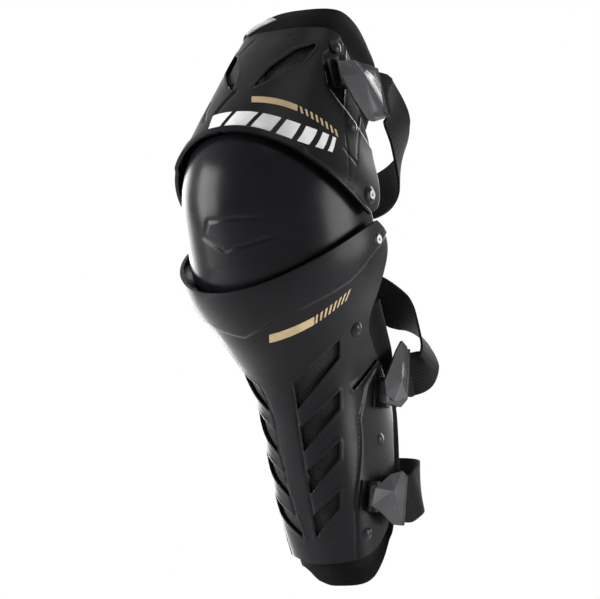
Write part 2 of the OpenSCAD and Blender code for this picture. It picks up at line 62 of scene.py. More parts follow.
# %% Camera
VIEW_AZIMUTH, VIEW_ELEVATION = math.radians(35), math.radians(-8)
VIEW_WIDTH, LENS_DISTANCE = 0.504, 3.2
turn_c, turn_s = math.cos(VIEW_AZIMUTH), math.sin(VIEW_AZIMUTH)
rise_c, rise_s = math.cos(VIEW_ELEVATION), math.sin(VIEW_ELEVATION)
to_right = Vector((turn_c, turn_s, 0))
to_camera = Vector((turn_s * rise_c, -turn_c * rise_c, rise_s))
to_top = to_camera.cross(to_right)
aim = 0.0108 * to_right - 0.0611 * to_top

bpy.ops.object.camera_add(location=aim + LENS_DISTANCE * to_camera)
camera = bpy.context.object
camera.name = "camera"
camera.rotation_euler = to_camera.to_track_quat("Z", "Y").to_euler()
camera.data.lens = camera.data.sensor_width * LENS_DISTANCE / VIEW_WIDTH
camera.data.clip_end = 30
bpy.context.scene.camera = camera


# %% Lights, world and floor
def soft_light(name, side, height, distance, size, power):
    """A square softbox, placed as seen from the camera: side degrees to its right."""
    angle = VIEW_AZIMUTH + math.radians(side)
    out = Vector((math.sin(angle), -math.cos(angle), math.tan(math.radians(height)))).normalized()
    bpy.ops.object.light_add(type="AREA", location=aim + distance * out)
    lamp = bpy.context.object
    lamp.name = name
    lamp.data.size = size
    lamp.data.energy = power
    lamp.rotation_euler = out.to_track_quat("Z", "Y").to_euler()


soft_light("key_light", -86, 10, 1.9, 1.2, 78)
soft_light("side_light", 78, 4, 2.2, 1.1, 56)
soft_light("top_light", 20, 66, 2.0, 1.2, 8)
soft_light("front_light", -22, -26, 2.6, 1.0, 4)
soft_light("back_light", 150, 20, 2.2, 1.2, 34)
soft_light("back_low_light", -150, 5, 2.2, 1.2, 26)


def seen_white(tree):
    """A socket that is 1 where the backdrop has to be white: in view, in a mirror, through glass."""
    path = tree.nodes.new("ShaderNodeLightPath")
    total = path.outputs["Is Camera Ray"]
    for ray in ("Is Glossy Ray", "Is Transmission Ray"):
        either = tree.nodes.new("ShaderNodeMath")
        either.operation = "MAXIMUM"
        tree.links.new(total, either.inputs[0])
        tree.links.new(path.outputs[ray], either.inputs[1])
        total = either.outputs[0]
    return total


world = bpy.data.worlds.new("studio")
bpy.context.scene.world = world
world.use_nodes = True
sky = world.node_tree
sky.nodes["Background"].inputs["Color"].default_value = (0.9, 0.9, 0.92, 1)
sky.nodes["Background"].inputs["Strength"].default_value = 0.11
white = sky.nodes.new("ShaderNodeBackground")
choose = sky.nodes.new("ShaderNodeMixShader")
sky.links.new(seen_white(sky), choose.inputs["Fac"])
sky.links.new(sky.nodes["Background"].outputs[0], choose.inputs[1])
sky.links.new(white.outputs[0], choose.inputs[2])
sky.links.new(choose.outputs[0], sky.nodes["World Output"].inputs["Surface"])
white.inputs["Color"].default_value = (1, 1, 1, 1)

bpy.ops.mesh.primitive_plane_add(size=14, location=(0, 0, -0.58))
floor = bpy.context.object
floor.name = "floor"
pale = bpy.data.materials.new("pale_floor")
pale.use_nodes = True
tree = pale.node_tree
tree.nodes["Principled BSDF"].inputs["Base Color"].default_value = (0.86, 0.86, 0.87, 1)
tree.nodes["Principled BSDF"].inputs["Roughness"].default_value = 0.8
glow = tree.nodes.new("ShaderNodeEmission")
glow.inputs["Color"].default_value = (0.80, 0.80, 0.80, 1)
both = tree.nodes.new("ShaderNodeAddShader")
only_seen = tree.nodes.new("ShaderNodeMixShader")
tree.links.new(tree.nodes["Principled BSDF"].outputs[0], both.inputs[0])
tree.links.new(glow.outputs[0], both.inputs[1])
tree.links.new(seen_white(tree), only_seen.inputs["Fac"])
tree.links.new(tree.nodes["Principled BSDF"].outputs[0], only_seen.inputs[1])
tree.links.new(both.outputs[0], only_seen.inputs[2])
tree.links.new(only_seen.outputs[0], tree.nodes["Material Output"].inputs["Surface"])
floor.data.materials.append(pale)
bpy.context.scene.view_settings.view_transform = "Standard"

# %% [markdown]
# ## Finishes
# Every finish is built from the same few nodes: a Principled shader, a fine bump for grain, and on the
# plastics and steel a noise that varies their gloss. Patterns read Object coordinates, in metres, so the
# scale of a grain is a real size. Woven webbing reads the piece's own UV map instead, so its ribs follow
# the strap round the leg. A dark surface among white walls picks up a grey veil, so the black finishes
# have a low specular level, and only the lamps draw clear highlights on them.


# %% Helpers for materials
class Finish:
    """A material under construction: its node tree, its shader and short ways to add nodes."""

    def __init__(self, name, colour, roughness, **sockets):
        self.material = bpy.data.materials.new(name)
        self.material.use_nodes = True
        self.tree = self.material.node_tree
        self.shader = self.tree.nodes["Principled BSDF"]
        self.set("Base Color", (*colour, 1))
        self.set("Roughness", roughness)
        for key, value in sockets.items():
            self.set(key.replace("_", " "), value)
        self.place = self.node("TexCoord")

    def set(self, socket, value):
        self.shader.inputs[socket].default_value = value

    def node(self, kind, **values):
        made = self.tree.nodes.new("ShaderNode" + kind)
        for key, value in values.items():
            if key in made.inputs:
                made.inputs[key].default_value = value
            else:
                setattr(made, key, value)
        return made

    def link(self, source, target):
        self.tree.links.new(source, target)

    def noise(self, scale, detail=3):
        made = self.node("TexNoise")
        made.inputs["Scale"].default_value = scale
        made.inputs["Detail"].default_value = detail
        self.link(self.place.outputs["Object"], made.inputs["Vector"])
        return made.outputs["Fac"]

    def spread(self, source, low, high, from_low=0.3, from_high=0.7):
        made = self.node("MapRange")
        for key, value in (("From Min", from_low), ("From Max", from_high),
                           ("To Min", low), ("To Max", high)):
            made.inputs[key].default_value = value
        self.link(source, made.inputs["Value"])
        return made.outputs["Result"]

    def tint(self, source, dark, light):
        ramp = self.node("ValToRGB")
        ramp.color_ramp.elements[0].color = (*dark, 1)
        ramp.color_ramp.elements[1].color = (*light, 1)
        self.link(source, ramp.inputs["Fac"])
        self.link(ramp.outputs["Color"], self.shader.inputs["Base Color"])

    def bump(self, source, height, strength=1.0):
        made = self.node("Bump")
        made.inputs["Strength"].default_value = strength
        made.inputs["Distance"].default_value = height
        self.link(source, made.inputs["Height"])
        before = self.shader.inputs["Normal"]
        if before.links:
            self.link(before.links[0].from_socket, made.inputs["Normal"])
        self.link(made.outputs["Normal"], before)


def moulded(name, colour, roughness, grain=0.00003, grain_scale=2200, **sockets):
    """Moulded plastic: gloss that wanders a little, faint scuffs, and a very fine grain."""
    f = Finish(name, colour, roughness, **sockets)
    wander = f.noise(28, 4)
    f.link(f.spread(wander, roughness - 0.05, roughness + 0.07), f.shader.inputs["Roughness"])
    f.tint(f.spread(f.noise(60, 5), 0, 1), [c * 0.85 for c in colour], [c * 1.18 for c in colour])
    f.bump(f.noise(grain_scale, 2), grain, 0.5)
    return f


# %% Plastics and metals
SATIN = {"Specular IOR Level": 0.09}
thigh_plastic = moulded("thigh_plastic", (0.0032, 0.003, 0.0035), 0.31, **SATIN).material
# The shin's base is a shade lighter than the thigh's: painted reflection, standing in for the soft
# reflections down the plate.
shin_plastic = moulded("shin_plastic", (0.0048, 0.0044, 0.0055), 0.29, **SATIN).material
cup_plastic = moulded("cup_plastic", (0.0036, 0.0033, 0.0046), 0.25, **SATIN).material
seat_plastic = moulded("seat_plastic", (0.006, 0.006, 0.0065), 0.40, **SATIN).material
clip_plastic = moulded("clip_plastic", (0.036, 0.035, 0.038), 0.25, grain=0.00005, **SATIN).material
gold_ink = moulded("gold_ink", (0.36, 0.27, 0.135), 0.42).material
white_ink = moulded("white_ink", (0.60, 0.60, 0.60), 0.45).material
cap_black = moulded("cap_black", (0.008, 0.008, 0.009), 0.22, **SATIN).material
cap_grey = moulded("cap_grey", (0.45, 0.45, 0.46), 0.35).material
steel = moulded("steel", (0.45, 0.45, 0.46), 0.3, Metallic=1.0).material
rivet_black = moulded("rivet_black", (0.012, 0.012, 0.014), 0.24, **SATIN).material


# %% Fabrics
SOFT = {"Specular IOR Level": 0.06}


def fabric(name, colour, roughness, weave, depth, sheen=0.25):
    """Brushed lining: a fine crossed weave, broken up by noise, with a soft sheen."""
    f = Finish(name, colour, roughness, Sheen_Weight=sheen, Sheen_Roughness=0.5, **SOFT)
    for turn in (0.0, math.pi / 2):
        lay = f.node("Mapping")
        lay.inputs["Rotation"].default_value = (0.6, turn, 0.7)
        f.link(f.place.outputs["Object"], lay.inputs["Vector"])
        thread = f.node("TexWave", bands_direction="X")
        thread.inputs["Scale"].default_value = weave
        thread.inputs["Distortion"].default_value = 1.5
        f.link(lay.outputs["Vector"], thread.inputs["Vector"])
        f.bump(thread.outputs["Fac"], depth, 0.5)
    f.bump(f.noise(900, 3), depth * 1.5, 0.4)
    f.tint(f.spread(f.noise(120, 4), 0, 1), [c * 0.7 for c in colour], [c * 1.35 for c in colour])
    return f.material


def woven(name, colour, ribs, depth):
    """Elastic webbing: ribs across the strap and warp threads along it, read from the UV map, with painted
    shade in the rib valleys and painted highlight on the crests.
    """
    f = Finish(name, colour, 0.8, Sheen_Weight=0.04, Sheen_Roughness=0.4, **SOFT)
    thread = f.node("TexWave", bands_direction="X")
    thread.inputs["Scale"].default_value = ribs
    f.link(f.place.outputs["UV"], thread.inputs["Vector"])
    f.bump(thread.outputs["Fac"], depth, 0.8)
    fine = f.node("TexWave", bands_direction="Y")
    fine.inputs["Scale"].default_value = ribs * 0.6
    f.link(f.place.outputs["UV"], fine.inputs["Vector"])
    f.bump(fine.outputs["Fac"], depth * 0.6, 0.5)
    # The rib wave also colours the webbing: darker in the valleys, lighter on the crests, painted shade and
    # painted highlight.
    f.tint(thread.outputs["Fac"], [c * 0.55 for c in colour], [c * 1.4 for c in colour])
    return f.material


pad_fabric = fabric("pad_fabric", (0.003, 0.003, 0.0035), 0.88, 420, 0.00012, 0.04)
mesh_fabric = fabric("mesh_fabric", (0.010, 0.0098, 0.0105), 0.7, 500, 0.0001, 0.15)
tab_fabric = fabric("tab_fabric", (0.34, 0.34, 0.35), 0.7, 500, 0.00008)
webbing = woven("webbing", (0.0065, 0.0065, 0.007), 110, 0.00025)
print("finishes", sorted(m.name for m in bpy.data.materials))

# %% [markdown]
# ## The guard's surfaces
# The shells are not drawn freely: their outer faces are the CAD model's own surfaces, written
# here again as formulas. A limb surface has a table of sections along a leaning line, each with a
# reach to the front, a half width and a squareness. The knee cup is a dome swept from one pivot
# to the other. A sheet is the patch of such a surface between a front line and a rear edge, and
# a place on it is named by two shares: u across, from -1 to 1, and w along, from 0 to 1.

# %% Limb and cup surfaces, in millimetres
PIVOT_RISE, PIVOT_OFFSET = 18.0, 5.0
CUP_HALF_WIDTH, CUP_REACH = 79.0, 96.0
SHELL_WALL = 3.0
SHELL_REACH = CUP_REACH + 1.5 + SHELL_WALL
SHELL_HALF_WIDTH = CUP_HALF_WIDTH + 5.0 + SHELL_WALL
THIGH_LENGTH, SHIN_LENGTH = 143.0, 264.0
THIGH_PIVOT = np.array([-PIVOT_OFFSET, PIVOT_RISE])
SHIN_PIVOT = np.array([PIVOT_OFFSET, -PIVOT_RISE])


def unit(v):
    v = np.asarray(v, float)
    return v / np.linalg.norm(v, axis=-1, keepdims=True)


class Limb:
    """The outer surface of a shell: sections are [share along, reach in, width in, squareness]."""

    def __init__(self, pivot, lean, up, length, sections):
        lean = math.radians(lean)
        self.pivot, self.length = pivot, length
        self.along = np.array([math.sin(lean), up * math.cos(lean)])
        self.forward = np.array([-up * self.along[1], up * self.along[0]])
        self.table = np.array(sections, float)
        self.table[:, 0] *= length
        self.table[:, 1] = SHELL_REACH - self.table[:, 1]
        self.table[:, 2] = SHELL_HALF_WIDTH - self.table[:, 2]

    def fair(self, column, t):
        rows, value = self.table[:, 0], self.table[:, column]
        slope = np.zeros(len(rows))
        slope[1:-1] = (value[2:] - value[:-2]) / (rows[2:] - rows[:-2])
        slope[-1] = (value[-1] - value[-2]) / (rows[-1] - rows[-2])
        k = np.clip(np.searchsorted(rows, t, "right") - 1, 0, len(rows) - 2)
        h = rows[k + 1] - rows[k]
        u = (t - rows[k]) / h
        return (value[k] * (2 * u**3 - 3 * u**2 + 1) + slope[k] * h * (u**3 - 2 * u**2 + u)
                + value[k + 1] * (3 * u**2 - 2 * u**3) + slope[k + 1] * h * (u**3 - u**2))

    def half_width(self, y, z):
        qy, qz = y - self.pivot[0], z - self.pivot[1]
        t = qy * self.along[0] + qz * self.along[1]
        r = qy * self.forward[0] + qz * self.forward[1]
        near = np.maximum(0, 1 - np.maximum(t, 0) / 40)
        rho = np.where(t < 0, np.hypot(qy, qz), np.where(r > 0, r, -r * (0.5 + 0.5 * near**2)))
        s = np.maximum(t, 0)
        k = self.fair(3, s)
        full = np.clip(1 - (rho / self.fair(1, s)) ** k, 0, None)
        return self.fair(2, s) * full ** (1 / k)

    def front_line(self, low, high):
        def fronts(w):
            t = (self.length * (low + (high - low) * w))[..., None]
            return self.pivot + t * self.along + self.fair(1, t) * self.forward
        return fronts


class Cup:
    """The knee cup's outer surface: a dome turned about each pivot, straight from one to the other."""

    tilt = math.degrees(math.atan2(PIVOT_OFFSET, PIVOT_RISE))

    def half_width(self, y, z):
        axis = THIGH_PIVOT - SHIN_PIVOT
        qy, qz = y - SHIN_PIVOT[0], z - SHIN_PIVOT[1]
        s = np.clip((qy * axis[0] + qz * axis[1]) / (axis @ axis), 0, 1)
        rho = np.hypot(qy - s * axis[0], qz - s * axis[1])
        return CUP_HALF_WIDTH * np.sqrt(np.clip(1 - (rho / CUP_REACH) ** 2, 0, None))

    def front_line(self, low, high):
        lower = math.radians(-self.tilt - low) * CUP_REACH
        upper = math.radians(high + self.tilt) * CUP_REACH
        straight = float(np.hypot(*(THIGH_PIVOT - SHIN_PIVOT)))
        marks = np.array([0, lower, lower + straight, lower + straight + upper])

        def fronts(w):
            s = w * marks[-1]
            turned = np.clip(s, 0, lower) / CUP_REACH + np.clip(s - marks[2], 0, None) / CUP_REACH
            angle = np.radians(low) + turned
            share = np.clip((s - lower) / straight, 0, 1)[..., None]
            pivot = SHIN_PIVOT + share * (THIGH_PIVOT - SHIN_PIVOT)
            return pivot + CUP_REACH * np.stack([-np.cos(angle), np.sin(angle)], -1)
        return fronts


def smooth_line(points, w):
    """Point at share w of a smooth curve through a list of points."""
    p = np.array(points, float)
    n = len(p) - 1
    k = np.clip(np.floor(w * n).astype(int), 0, n - 1)
    s = (w * n - k)[..., None]
    a, b, c, d = p[np.maximum(k - 1, 0)], p[k], p[k + 1], p[np.minimum(k + 2, n)]
    return b + s * (c - a) / 2 + s**2 * (2 * a - 5 * b + 4 * c - d) / 2 + s**3 * (3 * b - a - 3 * c + d) / 2


class Sheet:
    """A patch of a surface from a front line to a rear edge, with its two ends bowed."""

    def __init__(self, form, span, rears, low=(0, 0), high=(0, 0)):
        self.form, self.fronts, self.rears = form, form.front_line(*span), rears
        self.low, self.high = np.array(low, float), np.array(high, float)

    def place(self, u, w):
        u, w = np.broadcast_arrays(np.asarray(u, float), np.asarray(w, float))
        f, b = self.fronts(w), smooth_line(self.rears, w)
        e, ww = (1 - np.cos(np.pi / 2 * np.abs(u)))[..., None], w[..., None]
        p = f + e * (b - f) + 4 * e * (1 - e) * ((1 - ww) ** 3 * self.low + ww**3 * self.high)
        x = np.where(np.abs(u) < 1e-9, 0, self.form.half_width(p[..., 0], p[..., 1]))
        return np.stack([np.sign(u) * x, p[..., 0], p[..., 1]], -1)

    def normal(self, u, w):
        q = self.place(u, w)
        y, z, d, wide = q[..., 1], q[..., 2], 0.1, self.form.half_width
        across = (wide(y - d, z) - wide(y + d, z)) / 2 / d
        along = (wide(y, z - d) - wide(y, z + d)) / 2 / d
        return unit(np.stack([np.sign(q[..., 0]), across, along], -1))


THIGH = Limb(THIGH_PIVOT, 9, 1, THIGH_LENGTH, [
    [0, 0, 0, 2.1], [0.13, 1.5, 3, 2.1], [0.34, 11, 13.5, 2.1], [0.56, 28, 22, 2.2],
    [0.84, 51, 32, 2.4], [1, 65, 38, 2.5], [1.12, 73, 42, 2.5]])
SHIN = Limb(SHIN_PIVOT, 16, -1, SHIN_LENGTH, [
    [0, -4, 0, 2], [0.1, -3.5, 6, 2], [0.24, 17, 22.5, 2], [0.37, 40, 34, 2], [0.48, 51, 39.5, 2.1],
    [0.62, 53, 42, 2.2], [0.81, 57, 44, 2.3], [1, 66, 49, 2.3], [1.12, 71, 53, 2.3]])
CUP = Cup()
EAR_RADIUS = 16.0


def ear(pivot, angles, stretch):
    return [pivot + EAR_RADIUS * np.array([math.cos(math.radians(a)) + (stretch if k == 2 else 0),
            math.sin(math.radians(a))]) for k, a in enumerate(angles)]


thigh_sheet = Sheet(THIGH, (0.235, 1), ear(THIGH_PIVOT, (-90, -30, 30), 0.2)
                    + [(14, 46), (18, 70), (12, 104), (18, 134)], (3, -6), (6, 10))
shin_sheet = Sheet(SHIN, (0.078, 1), ear(SHIN_PIVOT, (90, 30, -30), 0.4)
                   + [(28, -60), (32, -86), (60, -108), (94, -140), (98, -180), (96, -222), (90, -248)],
                   (3, 6), (2, -6))
cup_ears = [SHIN_PIVOT + (EAR_RADIUS - 2) * np.array(q) for q in ((0, -1), (0.9, -0.3), (0.9, 0.5))] + [
    THIGH_PIVOT + (EAR_RADIUS - 2) * np.array(q) for q in ((1, -0.5), (0.9, 0.3), (0, 1))]
cup_sheet = Sheet(CUP, (-62, 62), cup_ears)
print("thigh shell front, top", thigh_sheet.place(0, 1), "shin shell front, bottom", shin_sheet.place(0, 1))

# %% [markdown]
# ## Skins
# A real shell is injection moulded, so its vents, steps and grooves are part of one smooth skin.
# Here that skin starts as Blender's grid primitive. Each vertex is moved to its place on the
# sheet and then in or out along the normal to give relief: a groove is a narrow dip along a line,
# a panel is a raised or sunk area with soft sides. Cutting holes in the grid, before the wall gets
# its thickness, keeps every cell a clean quad, and one bevel then rounds every edge at once.


# %% Skin: a grid on a sheet, with relief and holes
def clear_selection():
    if bpy.context.mode != "OBJECT":
        bpy.ops.object.mode_set(mode="OBJECT")
    bpy.ops.object.select_all(action="DESELECT")


def line_distance(points, line):
    """Distance from each point to a line of straight pieces, and the nearest point on it."""
    best = np.full(len(points), np.inf)
    near = np.zeros_like(points)
    for a, b in zip(line[:-1], line[1:]):
        d = b - a
        s = np.clip(((points - a) @ d) / max(d @ d, 1e-12), 0, 1)[:, None]
        q = a + s * d
        gap = np.linalg.norm(points - q, axis=1)
        closer = gap < best
        best[closer], near[closer] = gap[closer], q[closer]
    return best, near


def inside(points, outline):
    """Which flat points lie inside a closed outline."""
    x, y = points[:, 0], points[:, 1]
    found = np.zeros(len(points), bool)
    for (ax, ay), (bx, by) in zip(outline, np.roll(outline, -1, 0)):
        crosses = (ay > y) != (by > y)
        with np.errstate(divide="ignore", invalid="ignore"):
            found ^= crosses & (x < (bx - ax) * (y - ay) / (by - ay) + ax)
    return found


def soft_step(x):
    x = np.clip(x, 0, 1)
    return x * x * (3 - 2 * x)


class Skin:
    def __init__(self, name, sheet, across, along, reach=None):
        """reach, if given, says which share of its length the skin keeps at each u."""
        clear_selection()
        bpy.ops.mesh.primitive_grid_add(x_subdivisions=across, y_subdivisions=along, size=2)
        self.object, self.sheet = bpy.context.object, sheet
        self.object.name = self.object.data.name = name
        self.mesh = self.object.data
        grid = np.empty(len(self.mesh.vertices) * 3)
        self.mesh.vertices.foreach_get("co", grid)
        grid = grid.reshape(-1, 3)
        self.u, self.w = np.round(grid[:, 0], 7), (grid[:, 1] + 1) / 2
        if reach is not None:
            self.w = self.w * reach(self.u)
        self.at, self.out = sheet.place(self.u, self.w), sheet.normal(self.u, self.w)
        self.relief = np.zeros(len(grid))

    def line(self, shares, steps=24):
        """A line over the skin through places given by their shares."""
        s = np.array(shares, float)
        dense = np.concatenate([a + (b - a) * np.linspace(0, 1, steps)[:, None]
                                for a, b in zip(s[:-1], s[1:])])
        return self.sheet.place(dense[:, 0], dense[:, 1])

    def gap(self, shares):
        return line_distance(self.at, self.line(shares))[0]

    def groove(self, shares, width, depth):
        self.relief -= depth * np.exp(-((self.gap(shares) / width) ** 2))

    def panel(self, shares, height, soft):
        """Raises the area inside an outline, with sides that slope over the width soft."""
        within = inside(np.stack([self.u, self.w], 1), np.array(shares, float))
        edge = self.gap(list(shares) + [shares[0]]) * np.where(within, 1, -1)
        self.relief += height * soft_step(edge / soft + 0.5)

    def raise_by(self, amount):
        self.relief += amount

    def flat_view(self, turn, side):
        """The skin seen from a level direction: across and up, and which cells face that way."""
        look = np.array([math.sin(turn) * side, -math.cos(turn), 0])
        sideways = np.array([math.cos(turn) * side, math.sin(turn), 0])
        seen = np.stack([self.at @ sideways, self.at[:, 2]], 1)
        return look, sideways, seen, (self.out @ look) > 0.15

    def cut(self, outlines, turn, side):
        """Cuts holes whose outlines are drawn flat in a level view, moving cell edges onto them."""
        look, sideways, seen, facing = self.flat_view(turn, side)
        doomed = np.zeros(len(self.mesh.polygons), bool)
        corners = np.array([p.vertices[:] for p in self.mesh.polygons])
        centres, front = seen[corners].mean(1), facing[corners].all(1)
        for outline in outlines:
            outline = np.array(outline, float)
            gone = inside(centres, outline) & front
            if not gone.any():
                continue
            doomed |= gone
            ring = np.setdiff1d(np.intersect1d(corners[gone], corners[~gone]), [])
            closed = np.concatenate([outline, outline[:1]])
            _, near = line_distance(seen[ring], closed)
            move = near - seen[ring]
            shift = move[:, :1] * sideways + move[:, 1:] * np.array([0, 0, 1])
            lean = np.sum(shift * self.out[ring], 1) / (self.out[ring] @ look)
            self.at[ring] += shift - lean[:, None] * look
            gap, _ = line_distance(seen, closed)
            head_on = np.clip((self.out @ look - 0.55) / 0.3, 0, 1)
            self.relief += head_on * 0.5 * np.exp(-(((gap - 1.5) / 1.2) ** 2))
        return doomed

    def settle(self, doomed=None):
        """Writes the places to the mesh and removes the cut cells."""
        places = (self.at + self.out * self.relief[:, None]) * MM
        self.mesh.vertices.foreach_set("co", places.ravel())
        uv = self.mesh.uv_layers[0].data
        flow = np.empty(len(uv) * 2)
        uv.foreach_get("uv", flow)
        flow = flow.reshape(-1, 2) * self.flat_size()
        uv.foreach_set("uv", flow.ravel())
        if doomed is not None and doomed.any():
            bpy.ops.object.mode_set(mode="EDIT")
            bpy.ops.mesh.select_all(action="DESELECT")
            bpy.ops.object.mode_set(mode="OBJECT")
            self.mesh.polygons.foreach_set("select", doomed)
            bpy.ops.object.mode_set(mode="EDIT")
            bpy.ops.mesh.select_mode(type="FACE")
            bpy.ops.object.mode_set(mode="OBJECT")
            self.mesh.polygons.foreach_set("select", doomed)
            bpy.ops.object.mode_set(mode="EDIT")
            bpy.ops.mesh.delete(type="FACE")
            bpy.ops.object.mode_set(mode="OBJECT")
        self.mesh.update()
        middle = self.mesh.polygons[len(self.mesh.polygons) // 2]
        home = np.argmin(np.linalg.norm(self.at * MM - np.array(middle.center), axis=1))
        if np.dot(middle.normal, self.out[home]) < 0:
            self.mesh.flip_normals()
        return self.object

    def flat_size(self):
        across = self.sheet.place(np.linspace(-1, 1, 200), np.full(200, 0.5))
        along = self.sheet.place(np.zeros(200), np.linspace(0, 1, 200))
        return np.array([np.linalg.norm(np.diff(c, axis=0), axis=1).sum() * MM for c in (across, along)])


def thicken(piece, wall, edge=0.5):
    """Gives a skin its wall, inwards, and rounds every edge of it."""
    clear_selection()
    piece.select_set(True)
    bpy.context.view_layer.objects.active = piece
    solid = piece.modifiers.new("wall", "SOLIDIFY")
    solid.thickness, solid.offset = wall * MM, -1
    bpy.ops.object.modifier_apply(modifier="wall")
    if edge:
        bevel = piece.modifiers.new("edge", "BEVEL")
        bevel.width, bevel.segments, bevel.limit_method = edge * MM, 2, "ANGLE"
        bevel.angle_limit = math.radians(50)
        bpy.ops.object.modifier_apply(modifier="edge")
    bpy.ops.object.shade_smooth_by_angle(angle=math.radians(40))


def finish_piece(piece, material, body, replaced=()):
    piece.data.materials.clear()
    piece.data.materials.append(material)
    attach(piece, body)
    if replaced:
        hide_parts(*replaced)
    count = sum(len(p.vertices) - 2 for p in piece.data.polygons)
    print(piece.name, "on", body, "-", count, "triangles")


# %% [markdown]
# ## Thigh shell
# A satin black shell that narrows towards the top. Its lower edge is an arch with a thick lip that
# the knee cup slides under. It has one long curved vent on each side with a shallow crease up from
# it, two short grooves at the left of the front, and a pocket round the clip.

# %% Thigh shell
TURN = math.radians(35)
thigh_vent = [(-29, 107), (-15, 126), (7, 143), (24, 149), (23, 145), (13, 131), (-3, 122), (-20, 111)]
skin = Skin("thigh_shell_skin", thigh_sheet, 210, 140)
arch_gap = skin.gap([(u, 0) for u in np.linspace(-1, 1, 21)])
kink = soft_step((0.50 - np.abs(skin.u)) / 0.05)
skin.raise_by(kink * 2.6 * soft_step((7.0 - arch_gap) / 2.4))
skin.raise_by((1 - kink) * 1.2 * soft_step((4.0 - arch_gap) / 1.8))
for side in (-1, 1):
    skin.groove([(side * u, w) for u, w in ((0.144, 0.929), (0.233, 0.821))], 1.5, 0.6)
    skin.groove([(side * u, w) for u, w in ((0.702, 0.309), (0.775, 0.280))], 1.7, 0.6)
    pocket = ((0.50, 0.83), (0.97, 1.2), (1.3, 1.2), (1.3, 0.62), (0.66, 0.62), (0.545, 0.645))
    skin.panel([(side * u, w) for u, w in pocket], -1.2, 3.0)
skin.groove([(-0.30, 0.43), (-0.255, 0.30), (-0.206, 0.20)], 2.2, 1.8)
skin.groove([(-0.035, 0.396), (-0.07, 0.31), (-0.10, 0.215)], 1.6, 1.5)
doomed = skin.cut([thigh_vent], TURN, 1) | skin.cut([thigh_vent], TURN, -1)
thigh_shell = skin.settle(doomed)
thicken(thigh_shell, SHELL_WALL)
finish_piece(thigh_shell, thigh_plastic, "thigh", ["thigh_shell"])

# %% [markdown]
# ## Shin shell
# The long plate is black plastic, its base a shade lighter than the thigh's as painted reflection.
# A raised collar follows the knee cup's lower edge and ends in a step.
# Below it a column of slanted vents runs down each side of the front, beside a shallow channel,
# and a raised side panel carries the rivets and clips. A slit frees the top corner of each wing.


# %% Shin shell
def shin_vent(k):
    inner, outer, top = 6 + 5.2 * k, 43.5, -100 - 40.7 * k
    run = outer - inner
    return [(inner, top - 0.92 * run), (outer, top), (outer, top - 14),
            (inner + 3, top - 14 - 1.22 * (run - 3))]


skin = Skin("shin_shell_skin", shin_sheet, 196, 224, lambda u: 1 - 0.03 * soft_step((0.05 - u) / 0.4))
step = [(1.3, 0.10), (0.80, 0.140), (0.767, 0.151), (0.668, 0.159), (0.449, 0.140), (0.247, 0.131),
        (0.10, 0.150)]
collar = step + [(0.0, 0.165)] + [(-u, w) for u, w in step[::-1]] + [(-1.3, -0.3), (1.3, -0.3)]
skin.panel(collar, 1.8, 3.0)
for side in (-1, 1):
    channel = [(side * u, w) for u, w in ((0.150, 0.373), (0.128, 0.458), (0.079, 0.665), (0.066, 0.900))]
    skin.groove(channel, 1.1, 0.9)
    back = [(side * u, w) for u, w in ((1.2, 0.572), (0.799, 0.569), (0.625, 0.610), (0.473, 0.782),
                                       (0.441, 1.2), (1.2, 1.2))]
    skin.panel(back, 1.2, 1.5)
    skin.groove(back[1:5], 1.3, 0.9)
doomed = np.zeros(len(skin.mesh.polygons), bool)
for side in (-1, 1):
    doomed |= skin.cut([shin_vent(k) for k in range(4)], TURN, side)
    slit = np.array([(29, -137), (64, -106)], float)
    run = unit(slit[1] - slit[0])
    aside = np.array([-run[1], run[0]]) * 1.75
    outline = [slit[0] + aside, slit[0] - run * 1.6, slit[0] - aside, slit[1] + 20 * run - aside,
               slit[1] + 20 * run + aside]
    doomed |= skin.cut([outline], math.pi / 2, side)
shin_shell = skin.settle(doomed)
thicken(shin_shell, SHELL_WALL)
finish_piece(shin_shell, shin_plastic, "shin", ["shin_shell"])

# %% [markdown]
# ## Knee cup
# A smooth satin dome, the part that takes the knocks. Its only detail is one moulded line, a
# sideways bracket open to the right, low on the front.

# %% Knee cup
skin = Skin("knee_cup_skin", cup_sheet, 214, 196)
bracket = np.array([(39, -84, -7), (18, -95, -7), (-12, -97, -7), (-20, -92, -19), (1, -91, -32),
                    (24, -88, -28), (47, -77, -21)], float)
away, _ = line_distance(skin.at, bracket)
fade = soft_step(np.minimum(*[np.linalg.norm(skin.at - end, axis=1) for end in bracket[[0, -1]]]) / 14)
skin.raise_by(-1.2 * fade * np.exp(-((away / 1.2) ** 2)))
knee_cup = skin.settle()
thicken(knee_cup, 3.0)
finish_piece(knee_cup, cup_plastic, "knee", ["knee_cup"])

# %% [markdown]
# ## Printed stripes
# The shells carry thin pad-printed stripes: a gold bar that breaks up into slanted dashes, and a
# row of plain white slashes on the thigh. A print has almost no thickness, but a thin skin of its
# own, a quarter of a millimetre proud, keeps its edge sharp from every side.


# %% Stripes
INK_LIFT, INK_WALL = 0.28, 0.25


